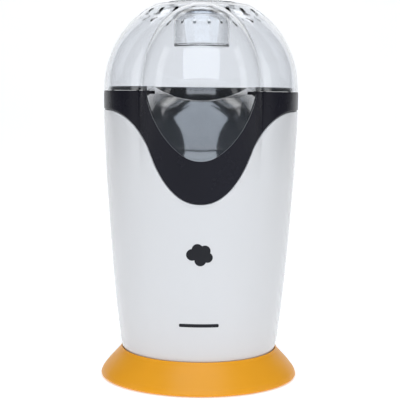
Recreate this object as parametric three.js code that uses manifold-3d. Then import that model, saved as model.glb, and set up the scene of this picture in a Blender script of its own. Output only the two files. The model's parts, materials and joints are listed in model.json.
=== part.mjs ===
// Hot-air popcorn maker: a tapered white body on a flared base ring, a dark collar that swells into
// a spout at the front, a clear lift-off hood with a measuring cup in its crown, and inside them the
// popping chamber, heater, fan, motor and switch. Millimetres, +Z up, the spout faces -Y.
import * as THREE from "three";
import { mergeVertices, mergeGeometries } from "three/addons/utils/BufferGeometryUtils.js";
import Module from "manifold-3d";

const wasm = await Module();
wasm.setup();

// ---------------------------------------------------------------- driving dimensions
const AXIS_Y = 8.4; // the body's round axis stands this far behind the footprint's centre
const GAP = 0.3; // assembly gap between touching pieces
const WALL = 2.4; // moulded housing wall
const SHOULDER_Z = 228; // where the hood sits on the collar
const DECK_Z = 231.4; // top of the raised deck inside the hood
const BODY_Z0 = 19.3; // underside of the body shell
const BASE_TOP_Z = 23;
const SPLIT_Z = 213.7; // the collar's lower edge at the sides and back
const SPOUT_R = 96; // reach of the spout from the round axis
const SPOUT_W = 77.15; // radius the spout grows out of
const SPOUT_Z0 = 146; // where the spout starts to leave the body
const CREASE = Math.acos(SPOUT_W / SPOUT_R); // half-angle of the spout
const HOOD_WALL = 1.8;
const HOOD_NOSE_C = 48; // the hood's chute: a half-ellipsoid this far forward
const HOOD_NOSE_R = 48;
const HOOD_NOSE_H = 66.5;
const CUP_R = 23.5;
const CUP_Z0 = 263;
const CUP_Z1 = 296.8; // underside of the cup's flange
const THROAT_R = 43.8; // the deck's round throat over the chamber
const CHAMBER_R = 44.5;
const CHAMBER_Z0 = 118.6;
const CHAMBER_Z1 = 216.5;
const HOUSING_R = 50.5; // heater housing and fan shroud
const FAN_R = 38;
const MOTOR_R = 13.8;
const SHAFT_R = 1.6;
const SWITCH_Z = 54.5;
const GLAND_Z = 31;
const ROCKER_REST = 9; // degrees the rocker leans at rest

// ---------------------------------------------------------------- helpers
const rad = (d) => (d * Math.PI) / 180;

// A closed geometry as a manifold solid, facing out.
function solid(geometry) {
  let g = geometry.index ? geometry.toNonIndexed() : geometry.clone();
  g = new THREE.BufferGeometry().setAttribute("position", g.getAttribute("position"));
  const m = mergeVertices(g, 1e-4);
  const tri = [];
  const ix = m.index.array;
  for (let i = 0; i < ix.length; i += 3)
    if (ix[i] !== ix[i + 1] && ix[i + 1] !== ix[i + 2] && ix[i] !== ix[i + 2]) tri.push(ix[i], ix[i + 1], ix[i + 2]);
  const make = (t) =>
    new wasm.Manifold(
      new wasm.Mesh({ numProp: 3, vertProperties: new Float32Array(m.attributes.position.array), triVerts: new Uint32Array(t) }),
    );
  let s = make(tri);
  if (s.volume() < 0) {
    for (let i = 0; i < tri.length; i += 3) [tri[i + 1], tri[i + 2]] = [tri[i + 2], tri[i + 1]];
    s = make(tri);
  }
  return s;
}
const join = (...s) => s.reduce((a, b) => a.add(b));
const cut = (a, ...s) => s.reduce((x, b) => x.subtract(b), a);

// Turns a profile of [radius, z] about +Z. A ring's profile closes on itself, a plug's starts and ends at radius 0.
function lathe(profile, segments = 48) {
  const g = new THREE.LatheGeometry(profile.map(([r, z]) => new THREE.Vector2(r, z)), segments);
  g.rotateX(Math.PI / 2);
  return solid(g);
}
const plug = (profile, segments) =>
  lathe([[0, profile[0][1]], ...profile, [0, profile[profile.length - 1][1]]], segments);
const ring = (profile, segments) => lathe([...profile, profile[0]], segments);
const tube = (r0, r1, z0, z1, segments) => ring([[r0, z0], [r1, z0], [r1, z1], [r0, z1]], segments);
function rod(r, z0, z1, segments = 16, x = 0, y = 0) {
  const g = new THREE.CylinderGeometry(r, r, z1 - z0, segments);
  g.rotateX(Math.PI / 2);
  g.translate(x, y, (z0 + z1) / 2);
  return solid(g);
}
// A rod along Y.
function rodY(r, y0, y1, segments, x, z) {
  const g = new THREE.CylinderGeometry(r, r, y1 - y0, segments);
  g.translate(x, (y0 + y1) / 2, z);
  return solid(g);
}
function rodX(r, x0, x1, segments, y, z) {
  const g = new THREE.CylinderGeometry(r, r, x1 - x0, segments);
  g.rotateZ(Math.PI / 2);
  g.translate((x0 + x1) / 2, y, z);
  return solid(g);
}
function block(x0, x1, y0, y1, z0, z1) {
  const g = new THREE.BoxGeometry(x1 - x0, y1 - y0, z1 - z0);
  g.translate((x0 + x1) / 2, (y0 + y1) / 2, (z0 + z1) / 2);
  return solid(g);
}
// The same solid under a matrix.
function moved(s, matrix) {
  const m = s.getMesh(), n = m.numProp;
  const p = new Float32Array(m.numVert * 3);
  for (let i = 0; i < m.numVert; i++) p.set(m.vertProperties.subarray(i * n, i * n + 3), i * 3);
  const g = new THREE.BufferGeometry().setAttribute("position", new THREE.BufferAttribute(p, 3)).setIndex(new THREE.BufferAttribute(m.triVerts, 1));
  return solid(g.applyMatrix4(matrix));
}
const turned = (s, degrees) => moved(s, new THREE.Matrix4().makeRotationZ(rad(degrees)));
const shift = (s, x, y, z) => moved(s, new THREE.Matrix4().makeTranslation(x, y, z));
const around = (n, f, start = 0) => Array.from({ length: n }, (_, i) => f(start + (360 / n) * i, i));

// Skins a stack of closed rings of equal count, and caps both ends with fans.
function loft(rings) {
  const n = rings[0].length;
  const p = [];
  const add = (a, b, c) => p.push(...a, ...b, ...c);
  for (let k = 0; k + 1 < rings.length; k++)
    for (let i = 0; i < n; i++) {
      const a = rings[k][i], b = rings[k][(i + 1) % n], c = rings[k + 1][(i + 1) % n], d = rings[k + 1][i];
      add(a, b, c);
      add(a, c, d);
    }
  for (const [r, flip] of [[rings[0], true], [rings[rings.length - 1], false]]) {
    const m = [0, 1, 2].map((k) => r.reduce((s, q) => s + q[k], 0) / n);
    for (let i = 0; i < n; i++) flip ? add(m, r[(i + 1) % n], r[i]) : add(m, r[i], r[(i + 1) % n]);
  }
  return solid(new THREE.BufferGeometry().setAttribute("position", new THREE.BufferAttribute(new Float32Array(p), 3)));
}
// The solid between two grids of points of the same size, rows by columns.
function sheetSolid(top, bottom) {
  const R = top.length, C = top[0].length, p = [];
  const quad = (a, b, c, d) => p.push(...a, ...b, ...c, ...a, ...c, ...d);
  for (let i = 0; i + 1 < R; i++)
    for (let j = 0; j + 1 < C; j++) {
      quad(top[i][j], top[i][j + 1], top[i + 1][j + 1], top[i + 1][j]);
      quad(bottom[i][j], bottom[i + 1][j], bottom[i + 1][j + 1], bottom[i][j + 1]);
    }
  for (let j = 0; j + 1 < C; j++) {
    quad(top[0][j], bottom[0][j], bottom[0][j + 1], top[0][j + 1]);
    quad(top[R - 1][j + 1], bottom[R - 1][j + 1], bottom[R - 1][j], top[R - 1][j]);
  }
  for (let i = 0; i + 1 < R; i++) {
    quad(top[i + 1][0], bottom[i + 1][0], bottom[i][0], top[i][0]);
    quad(top[i][C - 1], bottom[i][C - 1], bottom[i + 1][C - 1], top[i + 1][C - 1]);
  }
  return solid(new THREE.BufferGeometry().setAttribute("position", new THREE.BufferAttribute(new Float32Array(p), 3)));
}
// A wire or tube of n sides along a smooth curve.
function wire(points, r, sides = 6, steps = 14) {
  const shape = new THREE.Shape();
  for (let i = 0; i < sides; i++) {
    const a = (2 * Math.PI * i) / sides;
    i ? shape.lineTo(r * Math.cos(a), r * Math.sin(a)) : shape.moveTo(r * Math.cos(a), r * Math.sin(a));
  }
  shape.closePath();
  const path = new THREE.CatmullRomCurve3(points.map((q) => new THREE.Vector3(...q)));
  return solid(new THREE.ExtrudeGeometry(shape, { steps, bevelEnabled: false, extrudePath: path }));
}
function interp(table, x) {
  if (x <= table[0][0]) return table[0][1];
  for (let i = 1; i < table.length; i++)
    if (x <= table[i][0]) {
      const [a, b] = table[i - 1], [c, d] = table[i];
      return b + ((d - b) * (x - a)) / (c - a);
    }
  return table[table.length - 1][1];
}

// ---------------------------------------------------------------- outer form
// Outer radius of the body and collar against height.
const BODY = [
  [18, 59.4], [21, 60.4], [23.5, 61.6], [26.5, 62.5], [30, 63.0], [60, 67.1], [100, 70.5], [140, 73.3], [180, 75.7], [205, 76.7], [213.7, 76.95],
  [222, 77.1], [228, 77.15],
];
const spoutShare = (z) => {
  const t = Math.max(0, Math.min(1, (z - SPOUT_Z0) / (SHOULDER_Z - SPOUT_Z0)));
  return Math.pow(t, 1.25);
};
// Radius of the housing at height z and angle a from the front.
const outerR = (a, z) => interp(BODY, z) + spoutShare(z) * Math.max(0, SPOUT_R * Math.cos(a) - SPOUT_W);
const FRONT = 12, REST = 26; // facets over the spout and over the rest of the round
const angles = [];
for (let i = 0; i < FRONT; i++) angles.push(-CREASE + (2 * CREASE * i) / FRONT);
for (let i = 0; i < REST; i++) angles.push(CREASE + ((2 * Math.PI - 2 * CREASE) * i) / REST);
const at = (a, r, z) => [r * Math.sin(a), -r * Math.cos(a), z];
const wrapA = (a) => (a > Math.PI ? a - 2 * Math.PI : a);
const formRing = (z, inset) => angles.map((a) => at(a, outerR(wrapA(a), z) - inset, z));
const form = (levels, inset) => loft(levels.map((z) => formRing(z, inset)));
const LOW = [18, 23.5, 30, 60, 100];
const HIGH = [146, 160, 174, 190, 206, 228];

// The collar's lower edge seen from the front: [x, z].
const EDGE = [
  [-90, 213.7], [-74, 213.3], [-66, 212.2], [-58, 208.6], [-51, 202.9], [-45.5, 196.3], [-40.5, 188.4], [-37.3, 181.0], [-33.2, 171.5],
  [-27.8, 162.2], [-21.4, 154.2], [-14.2, 148.4], [-7, 145.4], [0, 144.6],
];
const edgeLine = [...EDGE, ...EDGE.slice(0, -1).reverse().map(([x, z]) => [-x, z])];
// Everything above the collar's edge line moved down by drop, to z = top.
function above(drop, top) {
  const s = new THREE.Shape();
  edgeLine.forEach(([x, z], i) => (i ? s.lineTo(x, z - drop) : s.moveTo(x, z - drop)));
  s.lineTo(90, top);
  s.lineTo(-90, top);
  s.closePath();
  const g = new THREE.ExtrudeGeometry(s, { depth: 120, bevelEnabled: false });
  g.rotateX(Math.PI / 2); // shape y becomes z, the depth runs to -y
  return solid(g).add(block(-90, 90, -0.5, 90, SPLIT_Z - drop, top));
}

// ---------------------------------------------------------------- the chute's floor
// Outline of the spout's mouth on its outer face: [x, z].
const MOUTH_W = 41.2;
const MOUTH = [
  [0, 177.0], [6.5, 177.9], [13, 181.0], [21, 187.7], [28.2, 196.4], [34.2, 206.8], [38.6, 217.8], [MOUTH_W, 226.9],
];
const mouthLine = [...MOUTH.slice(1).reverse().map(([x, z]) => [-x, z]), ...MOUTH];
const mouthAt = (k) => {
  const [x, z] = mouthLine[k];
  // angle from the front of a point of the outer face with that x
  let a = Math.asin(Math.min(1, Math.abs(x) / 90));
  for (let i = 0; i < 40; i++) a = Math.asin(Math.min(1, Math.abs(x) / outerR(a, Math.min(z, 228))));
  const r = outerR(a, Math.min(z, 228));
  return [x, -r * Math.cos(a), z];
};
const FLOOR_STEPS = [0, 0.12, 0.26, 0.42, 0.6, 0.8, 1];
// Rows run from the throat to the mouth, columns across.
function floorGrid() {
  const C = mouthLine.length;
  return FLOOR_STEPS.map((s) =>
    Array.from({ length: C }, (_, k) => {
      const p1 = mouthAt(k);
      const x0 = (37 * p1[0]) / MOUTH_W;
      const p0 = [x0, -Math.sqrt(THROAT_R * THROAT_R - x0 * x0), 221.5 + 9.9 * (x0 / 37) ** 2];
      const w = 1 - Math.abs(p1[0]) / MOUTH_W;
      const pc = [(p0[0] + p1[0]) / 2, p0[1] + 0.56 * (p1[1] - p0[1]), p0[2] - 19.5 * w - 1.6 * (1 - w)];
      return [0, 1, 2].map((i) => (1 - s) * (1 - s) * p0[i] + 2 * s * (1 - s) * pc[i] + s * s * p1[i]);
    }),
  );
}
const FLOOR = floorGrid();
const shifted = (grid, f) => grid.map((row, i) => row.map((p, j) => f(p, i, j)));
const floorSheet = sheetSolid(FLOOR, shifted(FLOOR, ([x, y, z], i) => [x, y, z - 2.0 + 0.7 * FLOOR_STEPS[i]]));
// Free space over the floor, out through the mouth and back into the throat, grown by g.
function chuteVoid(g, lower = 0) {
  const grow = (p) => [p[0] * (1 + g / 40), p[1], p[2] - g - lower];
  const rows = FLOOR.map((row) => row.map(grow));
  const back = rows[0].map(([x, y, z]) => [x * 0.86, y + 16, z + 1.5]);
  const front = rows[rows.length - 1].map(([x, y, z]) => [x, y - 26, z - 3]);
  const low = [back, ...rows, front];
  return sheetSolid(shifted(low, ([x, y]) => [x, y, 246]), low);
}

// ---------------------------------------------------------------- housing pieces
const outer = form([...LOW, ...HIGH], 0);
const inner = form([...LOW, ...HIGH.slice(0, -1), 230], WALL);
const shell = outer.subtract(inner);

// body shell, with an inward foot that the base screws pass through
const screwAt = around(4, (a) => [56 * Math.cos(rad(a)), 56 * Math.sin(rad(a))], 45);
let bodyShell = shell.subtract(block(-90, 90, -90, 90, 0, BODY_Z0)).subtract(above(GAP, 240));
// a flat pad at the back carries the switch
bodyShell = bodyShell.add(block(-11.5, 11.5, 58, 67.6, SWITCH_Z - 13.5, SWITCH_Z + 13.5).subtract(inner));
bodyShell = bodyShell.add(tube(51, 59.0, BODY_Z0, BODY_Z0 + 2.2, 48));
bodyShell = cut(
  bodyShell,
  ...screwAt.map(([x, y]) => rod(2.1, 10, 30, 12, x, y)),
  block(-6.9, 6.9, 55, 80, SWITCH_Z - 9.9, SWITCH_Z + 9.9),
  rodY(5.8, 50, 80, 20, 0, GLAND_Z),
);

// collar, with a tongue that drops inside the body shell and a ledge under the deck
const tongueZone = above(6, 240).subtract(above(-4, 250));
let collar = shell.intersect(above(0, SHOULDER_Z));
const tongueOuter = form([100, ...HIGH], WALL + GAP);
const tongueInner = form([100, ...HIGH.slice(0, -1), 231], WALL + GAP + 1.5);
const tongueBack = form([100, ...HIGH], WALL - 0.6);
const tongue = tongueOuter.subtract(tongueInner).intersect(tongueZone);
const tongueRoot = tongueBack.subtract(tongueInner).intersect(above(-0.6, 240).subtract(above(-4, 250)));
const ledgeForm = form([225.6, 228], 0.5).subtract(rod(69.4, 220, 232, 48));
collar = join(collar, tongue, tongueRoot, ledgeForm.intersect(form([225.6, 228], 0.2)));
const sheetRoom = sheetSolid(
  shifted(FLOOR, ([x, y, z]) => [x * 1.012, y, z + 1]),
  shifted(FLOOR, ([x, y, z]) => [x * 1.012, y, z - 2.0 - GAP]),
);
const sheetRoomFront = sheetSolid(
  [FLOOR[FLOOR.length - 2], FLOOR[FLOOR.length - 1], FLOOR[FLOOR.length - 1].map(([x, y, z]) => [x, y - 8, z])].map((r) => r.map(([x, y, z]) => [x * 1.012, y, z + 1])),
  [FLOOR[FLOOR.length - 2], FLOOR[FLOOR.length - 1], FLOOR[FLOOR.length - 1].map(([x, y, z]) => [x, y - 8, z])].map((r) => r.map(([x, y, z]) => [x * 1.012, y, z - 1.3 - GAP])),
);
const deckScrewAt = [42, 138, 196, -16].map((a) => [71.6 * Math.cos(rad(a)), 71.6 * Math.sin(rad(a))]);
collar = cut(collar, chuteVoid(GAP), sheetRoom, sheetRoomFront, ...deckScrewAt.map(([x, y]) => rod(1.7, 224, 230, 10, x, y)));

// deck with the round throat and the chute's floor in one moulding
const earAt = [90, -12, 192].map((a) => [53 * Math.cos(rad(a)), 53 * Math.sin(rad(a))]);
let deck = ring(
  [[THROAT_R, 219.5], [46, 219.5], [46, 229.2], [71.2, 229.2], [71.2, SHOULDER_Z + GAP], [73.8, SHOULDER_Z + GAP], [73.8, DECK_Z - 0.6], [73.2, DECK_Z], [THROAT_R, DECK_Z]],
  44,
);
deck = join(deck, ...earAt.map(([x, y]) => rod(4.2, 217, 229.6, 12, x, y)), ...deckScrewAt.map(([x, y]) => rod(2.2, SHOULDER_Z + GAP, 230, 10, x, y)));
deck = deck.subtract(chuteVoid(0)).add(floorSheet);
deck = cut(
  deck,
  rod(THROAT_R, 210, 240, 44),
  ...earAt.map(([x, y]) => rod(1.6, 216, 226.5, 10, x, y)),
  ...deckScrewAt.map(([x, y]) => rod(1.55, 227, 230.4, 10, x, y)),
);

// base ring: a flared skirt, a shelf for the body shell, and four screw posts
let baseRing = ring(
  [
    [78.2, 0.6], [78.8, 1.9], [77.4, 5.0], [73.6, 10.8], [69.9, 15.0], [66.2, 18.8], [63.5, 21.4], [62.5, BASE_TOP_Z],
    [61.8, BASE_TOP_Z], [60.4, BODY_Z0 - GAP], [50.4, BODY_Z0 - GAP], [50.4, 16.8], [63.2, 16.8], [67.4, 13.2], [73.6, 5.2], [76.1, 0.6],
  ],
  44,
);
baseRing = cut(join(baseRing, ...screwAt.map(([x, y]) => rod(4.4, 7.0, 17, 14, x, y))), ...screwAt.map(([x, y]) => rod(2.0, 5, 20, 12, x, y)));

// bottom plate with the air inlet's slots
const slotCut = around(16, (a) => turned(block(22, 46, -1.6, 1.6, 0, 10), a), 11.25);
const plate = cut(plug([[72.0, 4.2], [72.0, 6.6]], 44), ...slotCut, ...screwAt.map(([x, y]) => rod(2.0, 0, 10, 12, x, y)));

const footAt = around(4, (a) => [60 * Math.cos(rad(a)), 60 * Math.sin(rad(a))], 0);
const foot = ([x, y]) => shift(plug([[6.6, 0], [7.4, 0.8], [7.4, 3.9]], 16), x, y, 0);
const baseScrew = ([x, y]) => shift(plug([[3.4, 1.9], [3.4, 3.9], [1.6, 3.9], [1.6, 24], [0.9, 26]], 10), x, y, 0);

// ---------------------------------------------------------------- hood and cup
const HOOD = [
  [32, 296.5], [36.8, 295.7], [40.0, 294.4], [43.4, 292.2], [46.9, 289.9], [50.7, 286.8], [55.6, 282.6], [61.8, 275.2], [67.6, 266.1], [71.8, 256.7],
  [74.8, 247.1], [76.5, 236], [76.8, SHOULDER_Z + GAP],
];
function dome(inset, z0) {
  const p = [];
  for (let i = HOOD.length - 1; i >= 0; i--) {
    // inset each point along its own normal
    const a = HOOD[Math.min(i + 1, HOOD.length - 1)], b = HOOD[Math.max(i - 1, 0)];
    let nx = b[1] - a[1], nz = a[0] - b[0];
    if (i === HOOD.length - 1) [nx, nz] = [1, 0];
    if (i === 0) [nx, nz] = [0, 1];
    const l = Math.hypot(nx, nz);
    p.push([HOOD[i][0] - (inset * nx) / l, HOOD[i][1] - (inset * nz) / l]);
  }
  return plug([[p[0][0], z0], ...p], 44);
}
function nose(inset) {
  const g = new THREE.SphereGeometry(1, 24, 14);
  g.rotateX(Math.PI / 2);
  g.scale(HOOD_NOSE_R - 0.4 - inset, HOOD_NOSE_R - 0.4 - inset, HOOD_NOSE_H - inset);
  g.translate(0, -HOOD_NOSE_C, SHOULDER_Z + GAP);
  return solid(g);
}
const below = block(-120, 120, -120, 120, 100, SHOULDER_Z + GAP);
let hood = join(dome(0, 220), nose(0)).subtract(join(dome(HOOD_WALL, 210), nose(HOOD_WALL))).subtract(below);
// the crown's opening for the cup, with a short collar that guides it, and the vents round it
hood = hood.add(tube(24.2, 25.8, 287, 296.1, 32)).subtract(rod(24.2, 280, 300, 32));
hood = cut(hood, ...around(22, (a) => turned(block(44.6, 50.2, -1.5, 1.5, 270, 300), a), -90 + 180 / 22));

const cup = lathe(
  [
    [0, CUP_Z0], [22.2, CUP_Z0], [22.8, CUP_Z0 + 0.8], [CUP_R, CUP_Z1], [27.6, CUP_Z1], [27.6, CUP_Z1 + 0.8], [22.4, CUP_Z1 + 0.8], [21.8, CUP_Z1 + 0.3], [21.1, CUP_Z0 + 2.6], [20.5, CUP_Z0 + 1.8], [0, CUP_Z0 + 1.8],
  ],
  36,
);

// ---------------------------------------------------------------- popping chamber
let chamber = lathe(
  [
    [0, CHAMBER_Z0], [CHAMBER_R - 2, CHAMBER_Z0], [CHAMBER_R, CHAMBER_Z0 + 2], [CHAMBER_R, CHAMBER_Z1 - 1.2], [48, CHAMBER_Z1 - 1.2], [48, CHAMBER_Z1],
    [CHAMBER_R - 1, CHAMBER_Z1], [CHAMBER_R - 1, CHAMBER_Z0 + 2.6], [CHAMBER_R - 2.6, CHAMBER_Z0 + 1.1], [0, CHAMBER_Z0 + 1.1],
  ],
  36,
);
chamber = join(
  chamber,
  ...[90, -12, 192].map((a) => turned(block(46, 57.5, -4, 4, CHAMBER_Z1 - 1.2, CHAMBER_Z1), a)),
);
// slanted air slots near the floor set the kernels spinning
const louvre = (a) => {
  const g = new THREE.BoxGeometry(8, 1.8, 11);
  g.rotateX(rad(28));
  g.translate(CHAMBER_R, 0, 130);
  return turned(solid(g), a);
};
// the flange is notched where the chute's floor passes over it
chamber = cut(chamber, block(-22, 22, -60, -45.6, 214, 218), ...around(14, louvre, 3), ...earAt.map(([x, y]) => rod(1.9, 210, 220, 10, x, y)));

// ---------------------------------------------------------------- heater, fan and motor
const flangeAt = [30, 150, 270].map((a) => [53.6 * Math.cos(rad(a)), 53.6 * Math.sin(rad(a))]);
const flangeHoles = flangeAt.map(([x, y]) => rod(1.6, 80, 92, 10, x, y));
const heaterHousing = cut(
  ring([[HOUSING_R - 1, 86.4], [56.4, 86.4], [56.4, 87.6], [HOUSING_R, 87.6], [HOUSING_R, 140.4], [CHAMBER_R + GAP + 0.1, 140.4], [CHAMBER_R + GAP + 0.1, 139.2], [HOUSING_R - 1, 139.2]], 32),
  ...flangeHoles,
);
const fanShroud = cut(
  ring([[38.6, 58.6], [HOUSING_R, 58.6], [HOUSING_R, 84.4], [56.4, 84.4], [56.4, 86.1], [HOUSING_R - 2, 86.1], [HOUSING_R - 2, 60.6], [38.6, 60.6]], 32),
  ...flangeHoles,
);
const COIL_R = 33;
const coilZ = [94, 102, 110];
const notch = (a) => coilZ.map((z, i) => turned(block(COIL_R - 2.3, 60, -3, 3, z - 2.4, z + 2.4), a));
const micaPlate = (slotUp, a) =>
  turned(cut(block(-47, 47, -0.4, 0.4, 89, 116), block(-0.75, 0.75, -2, 2, slotUp ? 102.2 : 80, slotUp ? 120 : 102.8), ...notch(0), ...notch(180)), a);
// one spiral of resistance coil, three turns at a constant pitch between the combs' notches
const coilPath = [];
for (let i = 0; i <= 42; i++) {
  const u = i / 14; // turns
  const k = Math.floor(u), f = u - k;
  // level through the notches, stepping up in the quarter after the last comb
  const step = f < 0.8 ? 0 : (f - 0.8) / 0.2;
  const z = coilZ[Math.min(k, 2)] + (k < 2 ? 8 * step : 0);
  const a = rad(-8) + 2 * Math.PI * (k < 3 ? Math.min(u, 2.93) : 2.93);
  if (u <= 2.93) coilPath.push([COIL_R * Math.cos(a), COIL_R * Math.sin(a), z]);
}
const heatingCoil = wire(coilPath, 1.7, 6, 48);

const thermostat = join(rodY(8, HOUSING_R + GAP, 57.2, 20, 0, 118), rodY(6.2, 57, 60.4, 16, 0, 118), block(-12.5, 12.5, HOUSING_R + 0.6, HOUSING_R + 1.8, 115, 121), block(-4.4, -2.2, 60, 66, 117.6, 118.4), block(2.2, 4.4, 60, 66, 117.6, 118.4));
const thermalFuse = turned(join(rod(2.1, 98, 110, 12, 54.6, 0), rod(0.7, 93, 115, 8, 54.6, 0)), 62);

const motorBracket = cut(
  join(rod(20, 56.3, 58.3, 32), ...[30, 150, 270].map((a) => turned(block(15, 46, -5, 5, 56.3, 58.3), a))),
  rod(5.5, 50, 62, 20),
  rod(1.4, 50, 62, 8, 8.4, 0),
  rod(1.4, 50, 62, 8, -8.4, 0),
);
const motorCan = cut(
  ring([[MOTOR_R - 0.9, 24.4], [MOTOR_R, 24.4], [MOTOR_R, 55.2], [MOTOR_R - 0.8, 56.0], [5.1, 56.0], [5.1, 58.8], [2.0, 58.8], [2.0, 54.8], [MOTOR_R - 0.9, 54.8]], 24),
  rod(1.2, 50, 57, 8, 8.4, 0),
  rod(1.2, 50, 57, 8, -8.4, 0),
);
const motorCap = ring([[2.0, 21.6], [11.5, 21.6], [MOTOR_R, 22.6], [MOTOR_R, 24.1], [12.6, 24.1], [12.6, 25.6], [8, 25.6], [8, 23.4], [2.0, 23.4]], 24);
const magnet = (a) => {
  const s = new THREE.Shape();
  s.absarc(0, 0, 12.6, rad(-62), rad(62), false);
  s.absarc(0, 0, 10.1, rad(62), rad(-62), true);
  const g = new THREE.ExtrudeGeometry(s, { depth: 22, bevelEnabled: false, curveSegments: 8 });
  g.translate(0, 0, 28);
  return turned(solid(g), a);
};
const armature = plug([[SHAFT_R, 21.9], [SHAFT_R, 26.4], [3.8, 26.4], [3.8, 30], [SHAFT_R + 0.6, 30], [SHAFT_R + 0.6, 31.4], [9.3, 31.4], [9.3, 47.4], [SHAFT_R + 0.6, 47.4], [SHAFT_R + 0.6, 50], [SHAFT_R, 50], [SHAFT_R, 77]], 16);
const blade = (a) => {
  const s = new THREE.Shape();
  const pts = [];
  for (let i = 0; i <= 4; i++) {
    const r = 12 + (FAN_R - 12) * (i / 4), b = rad(16 * (i / 4) ** 1.4);
    pts.push([r * Math.cos(b), r * Math.sin(b)]);
  }
  pts.forEach(([x, y], i) => (i ? s.lineTo(x, y) : s.moveTo(x, y)));
  pts.reverse().forEach(([x, y]) => s.lineTo(x - 0.25, y + 1.2));
  s.closePath();
  const g = new THREE.ExtrudeGeometry(s, { depth: 12.4, bevelEnabled: false });
  g.translate(0, 0, 63);
  return turned(solid(g), a);
};
const impeller = join(plug([[FAN_R + 0.6, 61.8], [FAN_R + 0.6, 63.4], [13, 63.4], [7, 66], [6, 75.2], [5.4, 75.8]], 40), ...around(9, blade)).subtract(rod(SHAFT_R + 0.06, 50, 80, 20));

const rectifierBoard = block(-15, 15, -11, 11, 17.4, 19.0);
const diode = (x) => rodY(1.7, -4.2, 4.2, 10, x, 15.4).add(block(x - 0.5, x + 0.5, -3.4, 3.4, 15.2, 17.1));

// ---------------------------------------------------------------- switch and cord gland, at the back
const SW_Y = 67.9; // back of the bezel, a gap clear of the shell's flat pad
const switchHousing = cut(
  join(
    block(-8.6, 8.6, SW_Y, SW_Y + 2.2, SWITCH_Z - 11.6, SWITCH_Z + 11.6),
    block(-6.5, 6.5, 53.2, SW_Y + 0.1, SWITCH_Z - 9.5, SWITCH_Z + 9.5),
  ),
  block(-5.4, 5.4, 55.4, SW_Y + 4, SWITCH_Z - 8.4, SWITCH_Z + 8.4),
);
const terminal = (z) => block(-2.4, 2.4, 46.6, 52.9, z - 0.4, z + 0.4);
// convex key: a shallow V in side view, its pivot at the housing's mid depth
function rocker() {
  const s = new THREE.Shape();
  // side view: u towards the back (+Y) from the pivot, v up
  const p = [[-3.2, -2.6], [-3.2, 2.6], [1.6, 6.6], [6.6, 7.0], [5.2, 0.5], [5.2, -0.5], [6.6, -7.0], [1.6, -6.6]];
  p.forEach(([u, v], i) => (i ? s.lineTo(u, v) : s.moveTo(u, v)));
  s.closePath();
  const g = new THREE.ExtrudeGeometry(s, { depth: 10, bevelEnabled: false });
  // shape x is depth into +Y, shape y is height, the extrusion becomes width
  g.applyMatrix4(new THREE.Matrix4().makeBasis(new THREE.Vector3(0, 1, 0), new THREE.Vector3(0, 0, 1), new THREE.Vector3(1, 0, 0)));
  g.translate(-5, 0, 0);
  g.rotateX(rad(ROCKER_REST));
  g.translate(0, 64.4, SWITCH_Z);
  return solid(g);
}
const gland = cut(
  join(rodY(7.6, 64.6, 67.0, 20, 0, GLAND_Z), rodY(5.4, 58.4, 64.8, 16, 0, GLAND_Z), rodY(6.6, 56.0, 58.6, 16, 0, GLAND_Z)),
  rodY(3.7, 50, 70, 16, 0, GLAND_Z),
);

// ---------------------------------------------------------------- inner leads
const leadHeater = wire([[6, 50, 52], [30, 52, 56], [42, 46, 80], [36, 52, 100], [14, 62, 112], [4, 67.4, 117.9]], 1.1, 6, 22);
const leadMotor = wire([[12, 7, 20.4], [20, 12, 24], [26, 26, 30], [18, 40, 40], [6, 44, 46]], 1.0, 6, 14);

// ---------------------------------------------------------------- fasteners
const screwUp = (x, y, head, z0, z1, r) => shift(plug([[r * 2, z0], [r * 2, head], [r, head], [r, z1 - 1], [r * 0.5, z1]], 8), x, y, 0);

// ---------------------------------------------------------------- materials
const M = (color, roughness, metalness = 0, extra = {}) => new THREE.MeshStandardMaterial({ color, roughness, metalness, ...extra });
const white = M(0xe4e5e8, 0.28), dark = M(0x2c2c34, 0.3), slate = M(0x4a4d55, 0.22), orange = M(0xe8a02e, 0.4);
const clear = M(0xe8edf2, 0.05, 0, { transparent: true, opacity: 0.25 });
const alu = M(0xb9bbbd, 0.35, 0.9), steel = M(0xa3a5a8, 0.4, 0.9), rubber = M(0x1f1f20, 0.8), black = M(0x17181a, 0.45);
const mica = M(0xb08a55, 0.6), nichrome = M(0x6e6a66, 0.45, 0.8), nylon = M(0xd9d2bf, 0.5), copper = M(0xb87345, 0.4, 0.8), green = M(0x2c6b45, 0.5);
const red = M(0xa6231d, 0.5);

// ---------------------------------------------------------------- the assembly
const assembly = new THREE.Group();
assembly.position.set(0, AXIS_Y, 0);
function part(name, s, material, parent = assembly) {
  const m = s.getMesh();
  const n = m.numProp;
  const v = new Float32Array(m.numVert * 3);
  for (let i = 0; i < m.numVert; i++) v.set(m.vertProperties.subarray(i * n, i * n + 3), i * 3);
  const g = new THREE.BufferGeometry().setAttribute("position", new THREE.BufferAttribute(v, 3)).setIndex(new THREE.BufferAttribute(m.triVerts, 1));
  g.computeVertexNormals();
  const mesh = new THREE.Mesh(g, material);
  mesh.name = name;
  parent.add(mesh);
  return mesh;
}

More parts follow.
